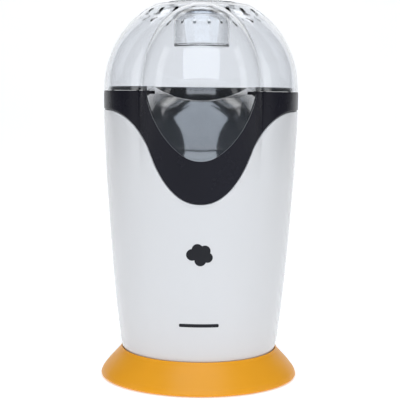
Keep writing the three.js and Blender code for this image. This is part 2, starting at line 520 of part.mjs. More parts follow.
part("base_ring", baseRing, orange);
part("bottom_plate", plate, black);
footAt.forEach((p, i) => part(`foot_${i + 1}`, foot(p), rubber));
screwAt.forEach((p, i) => part(`base_screw_${i + 1}`, baseScrew(p), steel));
part("body_shell", bodyShell, white);
part("collar", collar, dark);
part("chute_deck", deck, slate);
deckScrewAt.forEach(([x, y], i) => part(`deck_screw_${i + 1}`, screwUp(x, y, 225.3, 223.4, 230, 1.25), steel));
part("popping_chamber", chamber, alu);
earAt.forEach(([x, y], i) => part(`chamber_screw_${i + 1}`, screwUp(x, y, 215.0, 213, 226, 1.25), steel));
part("heater_housing", heaterHousing, steel);
part("mica_plate_a", micaPlate(true, 0), mica);
part("mica_plate_b", micaPlate(false, 90), mica);
part("heating_coil", heatingCoil, nichrome);
part("thermostat", thermostat, black);
part("thermal_fuse", thermalFuse, nylon);
part("fan_shroud", fanShroud, nylon);
flangeAt.forEach(([x, y], i) => part(`housing_screw_${i + 1}`, screwUp(x, y, 84.1, 82, 90, 1.3), steel));
part("motor_bracket", motorBracket, steel);
part("motor_can", motorCan, steel);
part("motor_end_cap", motorCap, nylon);
part("motor_magnet_a", magnet(0), black);
part("motor_magnet_b", magnet(180), black);
[8.4, -8.4].forEach((x, i) => part(`motor_screw_${i + 1}`, shift(plug([[1.0, 51], [1.0, 58.6], [2.0, 58.6], [2.0, 60.0]], 8), x, 0, 0), steel));
part("rectifier_board", rectifierBoard, green);
[-9, -3, 3, 9].forEach((x, i) => part(`diode_${i + 1}`, diode(x), black));
part("switch_housing", switchHousing, black);
part("switch_terminal_a", terminal(51), copper);
part("switch_terminal_b", terminal(56), copper);
part("cord_gland", gland, black);
part("lead_heater", leadHeater, red);
part("lead_motor", leadMotor, black);

const drive = new THREE.Group();
assembly.add(drive);
part("motor_armature", armature, steel, drive);
part("fan_impeller", impeller, black, drive);

const key = new THREE.Group();
assembly.add(key);
part("switch_rocker", rocker(), black, key);

const hoodGroup = new THREE.Group();
assembly.add(hoodGroup);
part("hood", hood, clear, hoodGroup);
const cupGroup = new THREE.Group();
hoodGroup.add(cupGroup);
part("measuring_cup", cup, clear, cupGroup);

const popcornMaker = new THREE.Group();
popcornMaker.add(assembly);
export default popcornMaker;
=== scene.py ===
# Upright hot-air popcorn maker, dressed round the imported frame. Shapes are worked in millimetres from the
# body's round axis (front is -Y) and written in metres in the frame's own axes.
import bpy, bmesh, json, math
from mathutils import Vector, Matrix


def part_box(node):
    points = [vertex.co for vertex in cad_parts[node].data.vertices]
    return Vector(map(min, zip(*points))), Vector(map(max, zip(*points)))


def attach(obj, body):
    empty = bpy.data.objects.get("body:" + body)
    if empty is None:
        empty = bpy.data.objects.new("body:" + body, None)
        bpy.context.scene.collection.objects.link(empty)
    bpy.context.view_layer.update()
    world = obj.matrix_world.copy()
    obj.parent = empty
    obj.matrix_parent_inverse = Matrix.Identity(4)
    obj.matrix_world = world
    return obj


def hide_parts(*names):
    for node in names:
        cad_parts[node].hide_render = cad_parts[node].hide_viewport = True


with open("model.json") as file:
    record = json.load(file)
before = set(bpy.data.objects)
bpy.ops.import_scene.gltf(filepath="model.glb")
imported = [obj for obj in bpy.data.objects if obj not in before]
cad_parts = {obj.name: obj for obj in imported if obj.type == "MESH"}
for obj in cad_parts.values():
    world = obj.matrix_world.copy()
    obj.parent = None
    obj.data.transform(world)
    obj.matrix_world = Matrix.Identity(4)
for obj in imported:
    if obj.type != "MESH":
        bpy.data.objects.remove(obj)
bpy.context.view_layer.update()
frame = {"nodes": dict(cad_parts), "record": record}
nodes = frame["nodes"]

lo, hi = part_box("base_ring")
AX = (lo.y + hi.y) / 2 * 1000.0          # the round axis, mm behind the frame's origin
BASE_R = (hi.x - lo.x) / 2 * 1000.0
lo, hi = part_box("hood")
SHOULDER = lo.z * 1000.0 - 0.3
CROWN = hi.z * 1000.0
lo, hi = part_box("chute_deck")
DECK = hi.z * 1000.0
lo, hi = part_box("measuring_cup")
CUP0, CUP1, FLANGE_R = lo.z * 1000.0, hi.z * 1000.0, (hi.x - lo.x) / 2 * 1000.0
lo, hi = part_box("body_shell")
BODY0 = lo.z * 1000.0
rad = math.radians


# ------------------------------------------------------------------ curves and helpers
def pchip(table):
    """A smooth curve through the table that never overshoots."""
    xs = [p[0] for p in table]
    ys = [p[1] for p in table]
    n = len(xs)
    h = [xs[i + 1] - xs[i] for i in range(n - 1)]
    d = [(ys[i + 1] - ys[i]) / h[i] for i in range(n - 1)]
    m = [0.0] * n
    m[0], m[-1] = d[0], d[-1]
    for i in range(1, n - 1):
        if d[i - 1] * d[i] > 0:
            w1, w2 = 2 * h[i] + h[i - 1], h[i] + 2 * h[i - 1]
            m[i] = (w1 + w2) / (w1 / d[i - 1] + w2 / d[i])

    def f(x):
        if x <= xs[0]:
            return ys[0]
        if x >= xs[-1]:
            return ys[-1]
        i = 0
        while x > xs[i + 1]:
            i += 1
        t = (x - xs[i]) / h[i]
        return (
            ys[i] * (1 + 2 * t) * (1 - t) ** 2
            + m[i] * h[i] * t * (1 - t) ** 2
            + ys[i + 1] * t * t * (3 - 2 * t)
            + m[i + 1] * h[i] * t * t * (t - 1)
        )

    return f


def spline(points, per=10):
    """A Catmull-Rom polyline through points of any dimension."""
    out = []
    n = len(points)
    for i in range(n - 1):
        p0 = points[max(i - 1, 0)]
        p1, p2 = points[i], points[i + 1]
        p3 = points[min(i + 2, n - 1)]
        for k in range(per):
            t = k / per
            out.append(tuple(
                0.5 * ((2 * b) + (-a + c) * t + (2 * a - 5 * b + 4 * c - d) * t * t + (-a + 3 * b - 3 * c + d) * t ** 3)
                for a, b, c, d in zip(p0, p1, p2, p3)
            ))
    out.append(tuple(points[-1]))
    return out


def lerp_line(line, x):
    """z of a polyline of (x, z) with rising x."""
    if x <= line[0][0]:
        return line[0][1]
    if x >= line[-1][0]:
        return line[-1][1]
    lo_i, hi_i = 0, len(line) - 1
    while hi_i - lo_i > 1:
        mid = (lo_i + hi_i) // 2
        if line[mid][0] <= x:
            lo_i = mid
        else:
            hi_i = mid
    (x0, z0), (x1, z1) = line[lo_i], line[hi_i]
    return z0 + (z1 - z0) * (x - x0) / max(x1 - x0, 1e-9)


def offset_line(line, d):
    """The polyline moved d along its left normal, kept rising in x."""
    out = []
    for i, (x, z) in enumerate(line):
        a, b = line[max(i - 1, 0)], line[min(i + 1, len(line) - 1)]
        tx, tz = b[0] - a[0], b[1] - a[1]
        l = math.hypot(tx, tz) or 1.0
        p = (x - tz / l * d, z + tx / l * d)
        if not out or p[0] > out[-1][0] + 1e-6:
            out.append(p)
    return out


def put(name, verts, faces, mat, body, replaces=(), slot=None, sharp=38, smooth=True):
    """A mesh object from millimetre points about the round axis."""
    me = bpy.data.meshes.new(name)
    me.from_pydata([(x / 1000, (y + AX) / 1000, z / 1000) for x, y, z in verts], [], faces)
    me.validate()
    bm = bmesh.new()
    bm.from_mesh(me)
    bmesh.ops.remove_doubles(bm, verts=bm.verts, dist=2e-7)
    bmesh.ops.recalc_face_normals(bm, faces=bm.faces)
    bm.to_mesh(me)
    bm.free()
    for p in me.polygons:
        p.use_smooth = smooth
    if sharp:
        me.set_sharp_from_angle(angle=rad(sharp))
    ob = bpy.data.objects.new(name, me)
    bpy.context.scene.collection.objects.link(ob)
    if mat:
        me.materials.append(mat)
    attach(ob, body)
    if replaces:
        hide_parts(*replaces)
    return ob


def skin(cols, close_cols=True, close_rows=True):
    """Faces over columns of points: each column is one loop or line of equal count."""
    n, m = len(cols), len(cols[0])
    verts = [p for c in cols for p in c]
    faces = []
    for i in range(n if close_cols else n - 1):
        a, b = i * m, ((i + 1) % n) * m
        for j in range(m if close_rows else m - 1):
            k = (j + 1) % m
            faces.append((a + j, b + j, b + k, a + k))
    if not close_cols and close_rows:
        faces.append(tuple(range(m)))
        faces.append(tuple((n - 1) * m + j for j in range(m))[::-1])
    return verts, faces


def at(a, r, z):
    return (r * math.sin(a), -r * math.cos(a), z)


def revolve(profile, segments=128):
    """Profile of (r, z) turned about the axis. It closes on itself, or starts and ends on the axis."""
    on_axis = profile[0][0] < 1e-6 and profile[-1][0] < 1e-6
    cols = [[at(2 * math.pi * i / segments, r, z) for r, z in profile] for i in range(segments)]
    return skin(cols, True, not on_axis)


def rounded(profile, r_default=0.5, steps=4, closed=True):
    """The polygon with its corners turned into arcs. Points are (r, z) or (r, z, radius)."""
    n = len(profile)
    out = []
    for i in range(n):
        p = profile[i]
        rr = p[2] if len(p) > 2 else r_default
        if not closed and i in (0, n - 1):
            out.append((p[0], p[1]))
            continue
        a, b = profile[(i - 1) % n], profile[(i + 1) % n]
        P, A, B = Vector(p[:2]), Vector(a[:2]), Vector(b[:2])
        u, v = (A - P), (B - P)
        lu, lv = u.length, v.length
        if rr <= 0 or lu < 1e-6 or lv < 1e-6:
            out.append((P.x, P.y))
            continue
        u /= lu
        v /= lv
        c = max(-1.0, min(1.0, u.dot(v)))
        ang = math.acos(c)
        if ang > rad(172):
            out.append((P.x, P.y))
            continue
        t = min(rr / math.tan(ang / 2), lu * 0.45, lv * 0.45)
        for k in range(steps + 1):
            s = k / steps
            q = (P + u * t) * (1 - s) ** 2 + P * 2 * s * (1 - s) + (P + v * t) * s * s
            out.append((q.x, q.y))
    return out


def boolean(ob, cutter_verts, cutter_faces, op="DIFFERENCE"):
    """Cuts ob with one mesh of closed cutters, and applies it."""
    me = bpy.data.meshes.new("cutter")
    me.from_pydata([(x / 1000, (y + AX) / 1000, z / 1000) for x, y, z in cutter_verts], [], cutter_faces)
    bm = bmesh.new()
    bm.from_mesh(me)
    bmesh.ops.recalc_face_normals(bm, faces=bm.faces)
    bm.to_mesh(me)
    bm.free()
    c = bpy.data.objects.new("cutter", me)
    bpy.context.scene.collection.objects.link(c)
    m = ob.modifiers.new("cut", "BOOLEAN")
    m.operation = op
    m.solver = "EXACT"
    m.object = c
    bpy.context.view_layer.update()
    dg = bpy.context.evaluated_depsgraph_get()
    new = bpy.data.meshes.new_from_object(ob.evaluated_get(dg))
    ob.modifiers.clear()
    old = ob.data
    ob.data = new
    new.name = ob.name
    bpy.data.meshes.remove(old)
    bpy.data.objects.remove(c)
    for p in new.polygons:
        p.use_smooth = True
    new.set_sharp_from_angle(angle=rad(38))
    return ob


def prism(outline, base, u, v, w, h0, h1):
    """A closed prism: outline in (u, v) at base, from h0 to h1 along w."""
    n = len(outline)
    pts = []
    for h in (h0, h1):
        for a, b in outline:
            pts.append(tuple(base[k] + u[k] * a + v[k] * b + w[k] * h for k in range(3)))
    faces = [tuple(range(n))[::-1], tuple(range(n, 2 * n))]
    for i in range(n):
        j = (i + 1) % n
        faces.append((i, j, n + j, n + i))
    return pts, faces


def stadium(length, width, steps=6):
    r = width / 2
    c = length / 2 - r
    out = []
    for s, x0 in ((-90, c), (90, -c)):
        for k in range(steps + 1):
            a = rad(s + 180 * k / steps)
            out.append((x0 + r * math.cos(a), r * math.sin(a)))
    return out


def gather(parts):
    verts, faces = [], []
    for v, f in parts:
        o = len(verts)
        verts += v
        faces += [tuple(i + o for i in q) for q in f]
    return verts, faces


# ------------------------------------------------------------------ materials
def nodes_of(name):
    m = bpy.data.materials.new(name)
    m.use_nodes = True
    nt = m.node_tree
    return m, nt, nt.nodes["Principled BSDF"]


def noise(nt, scale, detail=2.0, rough=0.5, vec=None, stretch=None):
    tc = nt.nodes.new("ShaderNodeTexCoord")
    out = tc.outputs["Object"]
    if stretch:
        mp = nt.nodes.new("ShaderNodeMapping")
        mp.inputs["Scale"].default_value = stretch
        nt.links.new(out, mp.inputs["Vector"])
        out = mp.outputs["Vector"]
    n = nt.nodes.new("ShaderNodeTexNoise")
    n.inputs["Scale"].default_value = scale
    n.inputs["Detail"].default_value = detail
    n.inputs["Roughness"].default_value = rough
    nt.links.new(vec or out, n.inputs["Vector"])
    return n.outputs["Fac"]


def ramp(nt, fac, stops):
    r = nt.nodes.new("ShaderNodeValToRGB")
    r.color_ramp.elements[0].position, r.color_ramp.elements[0].color = stops[0][0], (*stops[0][1], 1)
    r.color_ramp.elements[1].position, r.color_ramp.elements[1].color = stops[-1][0], (*stops[-1][1], 1)
    for p, c in stops[1:-1]:
        e = r.color_ramp.elements.new(p)
        e.color = (*c, 1)
    nt.links.new(fac, r.inputs["Fac"])
    return r.outputs["Color"]


def span(nt, fac, a, b):
    m = nt.nodes.new("ShaderNodeMapRange")
    m.inputs["From Min"].default_value = 0.3
    m.inputs["From Max"].default_value = 0.7
    m.inputs["To Min"].default_value = a
    m.inputs["To Max"].default_value = b
    nt.links.new(fac, m.inputs["Value"])
    return m.outputs["Result"]


def bump(nt, bsdf, height, strength, distance):
    b = nt.nodes.new("ShaderNodeBump")
    b.inputs["Strength"].default_value = strength
    b.inputs["Distance"].default_value = distance
    nt.links.new(height, b.inputs["Height"])
    nt.links.new(b.outputs["Normal"], bsdf.inputs["Normal"])


def plastic(name, colour, rough=(0.22, 0.3), vary=0.06, grain=1400, strength=0.05, coat=0.0, spec=0.5, wear=0.0, coat_ior=1.5):
    """Moulded plastic: faint flow marks in the colour, a fine skin texture, and worn edges lighter."""
    m, nt, b = nodes_of(name)
    dark = tuple(c * (1 - vary) for c in colour)
    light = tuple(min(1.0, c * (1 + vary)) for c in colour)
    flow = noise(nt, 9, 4, 0.6, stretch=(1, 1, 0.35))
    col = ramp(nt, flow, [(0.35, dark), (0.5, colour), (0.65, light)])
    if wear:
        g = nt.nodes.new("ShaderNodeNewGeometry")
        edge = nt.nodes.new("ShaderNodeMapRange")
        edge.inputs["From Min"].default_value = 0.54
        edge.inputs["From Max"].default_value = 0.68
        nt.links.new(g.outputs["Pointiness"], edge.inputs["Value"])
        mul = nt.nodes.new("ShaderNodeMath")
        mul.operation = "MULTIPLY"
        mul.inputs[1].default_value = wear
        nt.links.new(edge.outputs["Result"], mul.inputs[0])
        mix = nt.nodes.new("ShaderNodeMix")
        mix.data_type = "RGBA"
        nt.links.new(mul.outputs[0], mix.inputs["Factor"])
        nt.links.new(col, mix.inputs["A"])
        mix.inputs["B"].default_value = (*[min(1, c * 1.6 + 0.02) for c in colour], 1)
        col = mix.outputs["Result"]
    nt.links.new(col, b.inputs["Base Color"])
    nt.links.new(span(nt, noise(nt, 38, 5, 0.65), *rough), b.inputs["Roughness"])
    b.inputs["Specular IOR Level"].default_value = spec
    if coat:
        b.inputs["Coat Weight"].default_value = coat
        b.inputs["Coat Roughness"].default_value = 0.08
        b.inputs["Coat IOR"].default_value = coat_ior
    bump(nt, b, noise(nt, grain, 3, 0.6), strength, 0.0004)
    return m


def metal(name, colour, rough=(0.25, 0.42), stretch=(1, 1, 60), scale=30, strength=0.12, vary=0.12):
    """Metal with turning or rolling lines along the stretched axis."""
    m, nt, b = nodes_of(name)
    b.inputs["Metallic"].default_value = 1.0
    lines = noise(nt, scale, 4, 0.7, stretch=stretch)
    nt.links.new(ramp(nt, lines, [(0.3, tuple(c * (1 - vary) for c in colour)), (0.7, tuple(min(1, c * (1 + vary)) for c in colour))]), b.inputs["Base Color"])
    nt.links.new(span(nt, lines, *rough), b.inputs["Roughness"])
    bump(nt, b, lines, strength, 0.0003)
    return m


def clear(name, tint, rough=0.025, ior=1.49):
    """Clear moulded plastic with faint flow in its gloss."""
    m, nt, b = nodes_of(name)
    b.inputs["Transmission Weight"].default_value = 1.0
    b.inputs["IOR"].default_value = ior
    nt.links.new(ramp(nt, noise(nt, 12, 3, 0.5), [(0.3, tuple(c * 0.985 for c in tint)), (0.7, tint)]), b.inputs["Base Color"])
    nt.links.new(span(nt, noise(nt, 45, 4, 0.6), rough * 0.6, rough * 1.6), b.inputs["Roughness"])
    bump(nt, b, noise(nt, 60, 2, 0.5), 0.02, 0.0004)
    return m


WHITE = plastic("white_moulding", (0.715, 0.7, 0.69), (0.2, 0.27), 0.012, 1500, 0.03, coat=0.25)
DARK = plastic("charcoal_moulding", (0.0085, 0.0082, 0.0135), (0.22, 0.3), 0.1, 1500, 0.02, spec=0.15)
SLATE = plastic("slate_moulding", (0.017, 0.021, 0.027), (0.13, 0.19), 0.08, 1500, 0.01, coat=1.0, coat_ior=1.9)
ORANGE = plastic("orange_moulding", (0.87, 0.36, 0.013), (0.32, 0.42), 0.03, 1200, 0.05, spec=0.32)
BLACK = plastic("black_moulding", (0.016, 0.017, 0.019), (0.42, 0.55), 0.15, 1100, 0.2, wear=0.4)
RUBBER = plastic("rubber_feet", (0.018, 0.018, 0.019), (0.7, 0.85), 0.2, 900, 0.35)
NYLON = plastic("natural_moulding", (0.62, 0.57, 0.46), (0.4, 0.5), 0.06, 900, 0.12)
MICA = plastic("mica_board", (0.40, 0.26, 0.12), (0.5, 0.65), 0.35, 420, 0.3)
BOARD = plastic("circuit_board", (0.025, 0.13, 0.055), (0.35, 0.45), 0.2, 800, 0.1)
RED = plastic("red_sleeve", (0.38, 0.018, 0.014), (0.45, 0.6), 0.12, 1800, 0.2)
SLEEVE = plastic("black_sleeve", (0.02, 0.02, 0.021), (0.45, 0.6), 0.12, 1800, 0.2)
INK = plastic("printed_ink", (0.014, 0.014, 0.017), (0.4, 0.5), 0.1, 1600, 0.03, spec=0.2)
ALU = metal("spun_aluminium", (0.72, 0.73, 0.74))
STEEL = metal("plated_steel", (0.5, 0.5, 0.51), (0.3, 0.48), (1, 1, 8), 60, 0.08)
WIRE = metal("resistance_wire", (0.22, 0.19, 0.17), (0.4, 0.6), (1, 1, 1), 400, 0.2, 0.3)
COPPER = metal("plated_copper", (0.72, 0.4, 0.24), (0.25, 0.4), (1, 8, 1), 80, 0.08)
CLEAR = clear("clear_hood", (0.895, 0.906, 0.925))
CLEAR_CUP = clear("clear_cup", (0.97, 0.974, 0.98), 0.035)

# ------------------------------------------------------------------ outer form
BODY = [(18, 59.4), (21, 60.4), (23.5, 61.6), (26.5, 62.5), (30, 62.9), (60, 66.6), (100, 70.2), (140, 73.2), (180, 75.7), (205, 76.7), (213.7, 76.95), (222, 77.1), (228, 77.15)]
body_r = pchip(BODY)
SPOUT_R, SPOUT_W, SPOUT_Z0 = 96.0, 77.15, 146.0
CREASE = math.acos(SPOUT_W / SPOUT_R)


def outer_r(a, z):
    t = max(0.0, min(1.0, (z - SPOUT_Z0) / (228.0 - SPOUT_Z0))) ** 1.25
    return body_r(z) + t * max(0.0, SPOUT_R * math.cos(a) - SPOUT_W)


EDGE = [(0, 144.6), (7, 145.4), (14.2, 148.4), (21.4, 154.2), (27.8, 162.2), (33.2, 171.5), (37.3, 181.0), (40.5, 188.4), (45.5, 196.3), (51, 202.9), (58, 208.6), (66, 212.2), (74, 213.3), (90, 213.7)]
EDGE_LINE = spline([(-7, 145.4)] + EDGE, 8)[8:]
MOUTH_W = 41.2
MOUTH = [(0, 177.0), (6.5, 177.9), (13, 181.0), (21, 187.7), (28.2, 196.4), (34.2, 206.8), (38.6, 217.8), (MOUTH_W, 226.9)]
MOUTH_LINE = spline([(-6.5, 177.9)] + MOUTH, 8)[8:]
TOP = SHOULDER


def solve_edge(a, line, z_hi=228.0, z_lo=120.0):
    """Height where the outer face at angle a crosses a front-view line (x, z). Behind the axis the line is flat."""
    if math.cos(a) <= 0:
        return line[-1][1]
    s = abs(math.sin(a))
    for _ in range(44):
        mid = (z_lo + z_hi) / 2
        if mid < lerp_line(line, s * outer_r(a, mid)):
            z_lo = mid
        else:
            z_hi = mid
    return (z_lo + z_hi) / 2


def angle_at_x(x, z):
    """Angle from the front where the outer face at height z has this x."""
    a = 0.0
    for _ in range(60):
        a = math.asin(min(1.0, abs(x) / outer_r(a, z)))
    return math.copysign(a, x)


A_MOUTH = angle_at_x(MOUTH_W + 0.12, 227.5)


def front_angles(extra=()):
    """Angles round the body, closer together over the spout."""
    out = set()
    for i in range(97):
        out.add(round(A_MOUTH * i / 96, 6))
    for i in range(1, 25):
        out.add(round(A_MOUTH + (CREASE - A_MOUTH) * i / 24, 6))
    for i in range(1, 41):
        out.add(round(CREASE + (rad(90) - CREASE) * i / 40, 6))
    for i in range(1, 45):
        out.add(round(rad(90) + rad(90) * i / 45, 6))
    for e in extra:
        out.add(round(e, 6))
    half = sorted(out)
    full = [-a for a in half[::-1] if a > 0] + half
    return full + [math.pi]


ANGLES = front_angles()

# ------------------------------------------------------------------ body shell
body_top_line = offset_line(EDGE_LINE, -0.35)
WALL = 2.4
cols = []
for a in ANGLES:
    zt = solve_edge(a, body_top_line)
    edges = [solve_edge(a, offset_line(EDGE_LINE, -0.35 - d)) if math.cos(a) > 0 else body_top_line[-1][1] - d for d in (0.8, 0.45, 0.2)]
    col = []
    for z, inset in ((BODY0 + 0.9, 0.0),):
        col.append((inset, z))
    for k in range(1, 40):
        col.append((0.0, BODY0 + 0.9 + (edges[0] - BODY0 - 0.9) * k / 40))
    col += [(0.0, edges[0]), (0.12, edges[1]), (0.35, edges[2]), (0.8, zt), (1.7, zt), (2.2, edges[2]), (WALL, edges[0])]
    for k in range(1, 10):
        col.append((WALL, edges[0] + (BODY0 + 2.2 - edges[0]) * k / 10))
    col += [(WALL, BODY0 + 2.2), (9.0, BODY0 + 2.2), (9.0, BODY0), (0.9, BODY0), (0.3, BODY0 + 0.25)]
    cols.append([at(a, outer_r(a, z) - i, z) for i, z in col])
v, f = skin(cols)
body = put("body_shell_skin", v, f, WHITE, "housing", ("body_shell",), "white_plastic")

# the switch's flat pad, its opening, and the cord's hole
lo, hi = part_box("switch_housing")
SW_X, SW_Z = (lo.x + hi.x) * 500, (lo.z + hi.z) * 500
SW_Y0, SW_Y1, SW_W, SW_H = lo.y * 1000 - AX, hi.y * 1000 - AX, (hi.x - lo.x) * 500, (hi.z - lo.z) * 500
lo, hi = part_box("cord_gland")
GL_Z, GL_Y0, GL_Y1, GL_R = (lo.z + hi.z) * 500, lo.y * 1000 - AX, hi.y * 1000 - AX, (hi.x - lo.x) * 500


def rect(w, h, r, steps=5):
    out = []
    for cx, cz, s in ((w - r, h - r, 0), (-w + r, h - r, 90), (-w + r, -h + r, 180), (w - r, -h + r, 270)):
        for k in range(steps + 1):
            a = rad(s + 90 * k / steps)
            out.append((cx + r * math.cos(a), cz + r * math.sin(a)))
    return out


X, Y, Z = (1, 0, 0), (0, 1, 0), (0, 0, 1)
pad_y = SW_Y1 - 2.2 - 0.3
boolean(body, *prism(rect(11.5, 13.5, 2.5), (0, 0, SW_Z), X, Z, Y, 61.5, pad_y), op="UNION")
boolean(body, *gather([
    prism(rect(6.9, 9.9, 0.8), (0, 0, SW_Z), X, Z, Y, 50, 80),
    prism([(5.8 * math.cos(2 * math.pi * k / 40), 5.8 * math.sin(2 * math.pi * k / 40)) for k in range(40)], (0, 0, GL_Z), X, Z, Y, 50, 80),
]))

# ------------------------------------------------------------------ collar
mouth_out = MOUTH_LINE[:-1] + [(MOUTH_W, 226.9), (MOUTH_W + 0.12, 229.5)]


def collar_top(a, d):
    """Upper limit of the collar on its outer face, d inside its edge."""
    if abs(a) > A_MOUTH + 1e-7:
        return TOP - d
    line = offset_line(mouth_out, -d)
    return min(TOP - d, solve_edge(a, line, 229.4))


cols = []
EPS = 1e-4
collar_angles = sorted(set(ANGLES) | {A_MOUTH + EPS, -A_MOUTH - EPS})
for a in collar_angles:
    bottom = [solve_edge(a, offset_line(EDGE_LINE, d)) if math.cos(a) > 0 else EDGE_LINE[-1][1] + d for d in (0.0, 0.2, 0.45, 0.8)]
    top = [collar_top(a, d) for d in (0.0, 0.2, 0.45, 0.8)]
    col = [(0.8, bottom[0]), (0.35, bottom[1]), (0.12, bottom[2]), (0.0, bottom[3])]
    for k in range(1, 30):
        col.append((0.0, bottom[3] + (top[3] - bottom[3]) * k / 30))
    col += [(0.0, top[3]), (0.12, top[2]), (0.35, top[1]), (0.8, top[0])]
    if abs(a) > A_MOUTH + EPS / 2:
        reach = outer_r(a, TOP) - 69.4
        col += [(reach, top[0]), (reach, TOP - 2.4), (WALL, TOP - 2.4)]
    else:
        col += [(WALL - 0.6, top[0]), (WALL - 0.1, top[1]), (WALL, top[2])]
    for k in range(1, 12):
        col.append((WALL, top[3] + (bottom[3] - top[3]) * k / 12 - (1.6 if abs(a) > A_MOUTH + EPS / 2 and k < 2 else 0)))
    col += [(WALL, bottom[3]), (WALL - 0.3, bottom[1]), (WALL - 0.9, bottom[0])]
    cols.append([at(a, outer_r(a, min(z, 228)) - i, z) for i, z in col])
v, f = skin(cols)
put("collar_skin", v, f, DARK, "housing", ("collar",), "dark_plastic")

# ------------------------------------------------------------------ deck and chute floor
THROAT = 43.8


def floor_point(s, x1):
    """Point of the chute's floor: s runs from the throat to the mouth, x1 is where its line meets the mouth."""
    z1 = lerp_line(MOUTH_LINE, abs(x1))
    a = angle_at_x(x1, min(z1, 228))
    r = outer_r(a, min(z1, 228)) - 0.25
    p1 = (x1, -r * math.cos(a), z1 + 0.1)
    x0 = 37 * x1 / MOUTH_W
    p0 = (x0, -math.sqrt(THROAT ** 2 - x0 * x0), 221.5 + 9.9 * (x0 / 37) ** 2)
    w = 1 - (math.hypot(x1 / MOUTH_W, 0.25) - 0.25) / (math.hypot(1, 0.25) - 0.25)
    pc = ((p0[0] + p1[0]) / 2, p0[1] + 0.56 * (p1[1] - p0[1]), p0[2] - 19.5 * w - 1.6 * (1 - w))
    return tuple((1 - s) ** 2 * p0[i] + 2 * s * (1 - s) * pc[i] + s * s * p1[i] for i in range(3))


cols = []
NX, NS = 72, 44
for i in range(NX + 1):
    x1 = (MOUTH_W - 0.45) * math.sin(math.pi / 2 * (2 * i / NX - 1))
    up = [floor_point(k / NS, x1) for k in range(NS + 1)]
    # the lip rolls over at the mouth, and the throat's edge is softened
    lip = up[-1]
    top = [(up[0][0], up[0][1] + 0.0, up[0][2] - 0.6)] + [(p[0], p[1], p[2]) for p in up[1:-1]] + [(lip[0], lip[1] + 0.25, lip[2] + 0.02), (lip[0], lip[1] + 0.02, lip[2] - 0.3)]
    low = [(p[0], p[1], p[2] - 2.0 + 0.7 * k / NS) for k, p in enumerate(up)][::-1]
    low[0] = (lip[0], lip[1] + 0.2, lip[2] - 1.3)
    cols.append(top + low)
v, f = skin(cols, close_cols=False)
floor_v, floor_f = v, f

# the deck ring, its ends following the chute's side lines
cols = []
NR = 160
in0, out0 = math.atan2(37.0, math.sqrt(THROAT ** 2 - 37.0 ** 2)), None
side = [floor_point(k / 80, MOUTH_W - 0.45) for k in range(81)]
for p in side:
    if math.hypot(p[0], p[1]) <= 73.8:
        out0 = math.atan2(p[0], -p[1])
for i in range(NR + 1):
    u = i / NR
    ai = in0 + (2 * math.pi - 2 * in0) * u
    ao = out0 + (2 * math.pi - 2 * out0) * u
    end = i in (0, NR)
    drop = 4.2 if (i < 2 or i > NR - 2) else 0.0

    def mixp(t, z):
        a = ai + (ao - ai) * t
        r = THROAT + (73.8 - THROAT) * t
        return at(a, r, z)

    prof = [(0.0, 219.5), (0.0, DECK - 1.0), (0.006, DECK - 0.5), (0.018, DECK - 0.15), (0.035, DECK)]
    prof += [(0.035 + (0.965 - 0.035) * k / 12, DECK) for k in range(1, 13)]
    prof += [(0.982, DECK - 0.15), (0.994, DECK - 0.5), (1.0, DECK - 1.0), (1.0, SHOULDER + 0.3), (0.91, SHOULDER + 0.3), (0.91, 229.2 - drop), (0.073, 229.2 - drop), (0.073, 219.5)]
    cols.append([mixp(t, z) for t, z in prof])
v, f = skin(cols, close_cols=False)
v, f = gather([(floor_v, floor_f), (v, f)])
put("chute_deck_skin", v, f, SLATE, "housing", ("chute_deck",), "slate_plastic")

# ------------------------------------------------------------------ base ring
skirt = [(78.2, 0.6, 0.4), (78.8, 1.9, 0.8), (77.4, 5.2, 3), (73.1, 10.8, 6), (69.2, 15.0, 6), (65.6, 18.8, 6), (63.4, 21.4, 3), (62.7, 23.0, 0.5), (61.9, 23.0, 0.3),
         (60.4, 19.0, 0.2), (50.4, 19.0, 0.4), (50.4, 16.8, 0.4), (63.2, 16.8, 1), (67.4, 13.2, 3), (73.6, 5.2, 3), (76.1, 0.6, 0.4)]
v, f = revolve(rounded(skirt, steps=6), 160)
posts = []
for k in range(4):
    a = rad(45 + 90 * k)
    ring_pts = [(4.4 * math.cos(2 * math.pi * j / 24), 4.4 * math.sin(2 * math.pi * j / 24)) for j in range(24)]
    posts.append(prism(ring_pts, (56 * math.cos(a), 56 * math.sin(a), 0), X, Y, Z, 7.0, 17.4))
base = put("base_ring_skin", *gather([(v, f), *posts]), ORANGE, "housing", ("base_ring",), "orange_plastic")

# ------------------------------------------------------------------ hood
HOOD = [(76.8, SHOULDER + 0.3), (76.5, 236), (74.8, 247.1), (71.8, 256.7), (67.6, 266.1), (61.8, 275.2), (55.6, 282.6), (50.7, 286.8), (46.9, 289.9), (43.4, 292.2), (40.0, 294.4), (36.8, 295.7), (32, CROWN)]
HW = 1.8
EZ = SHOULDER + 0.3
dome = spline(HOOD, 7)


def normals2(line):
    out = []
    for i in range(len(line)):
        a, b = line[max(i - 1, 0)], line[min(i + 1, len(line) - 1)]
        t = Vector((b[0] - a[0], b[1] - a[1])).normalized()
        out.append((t.y, -t.x))
    return out


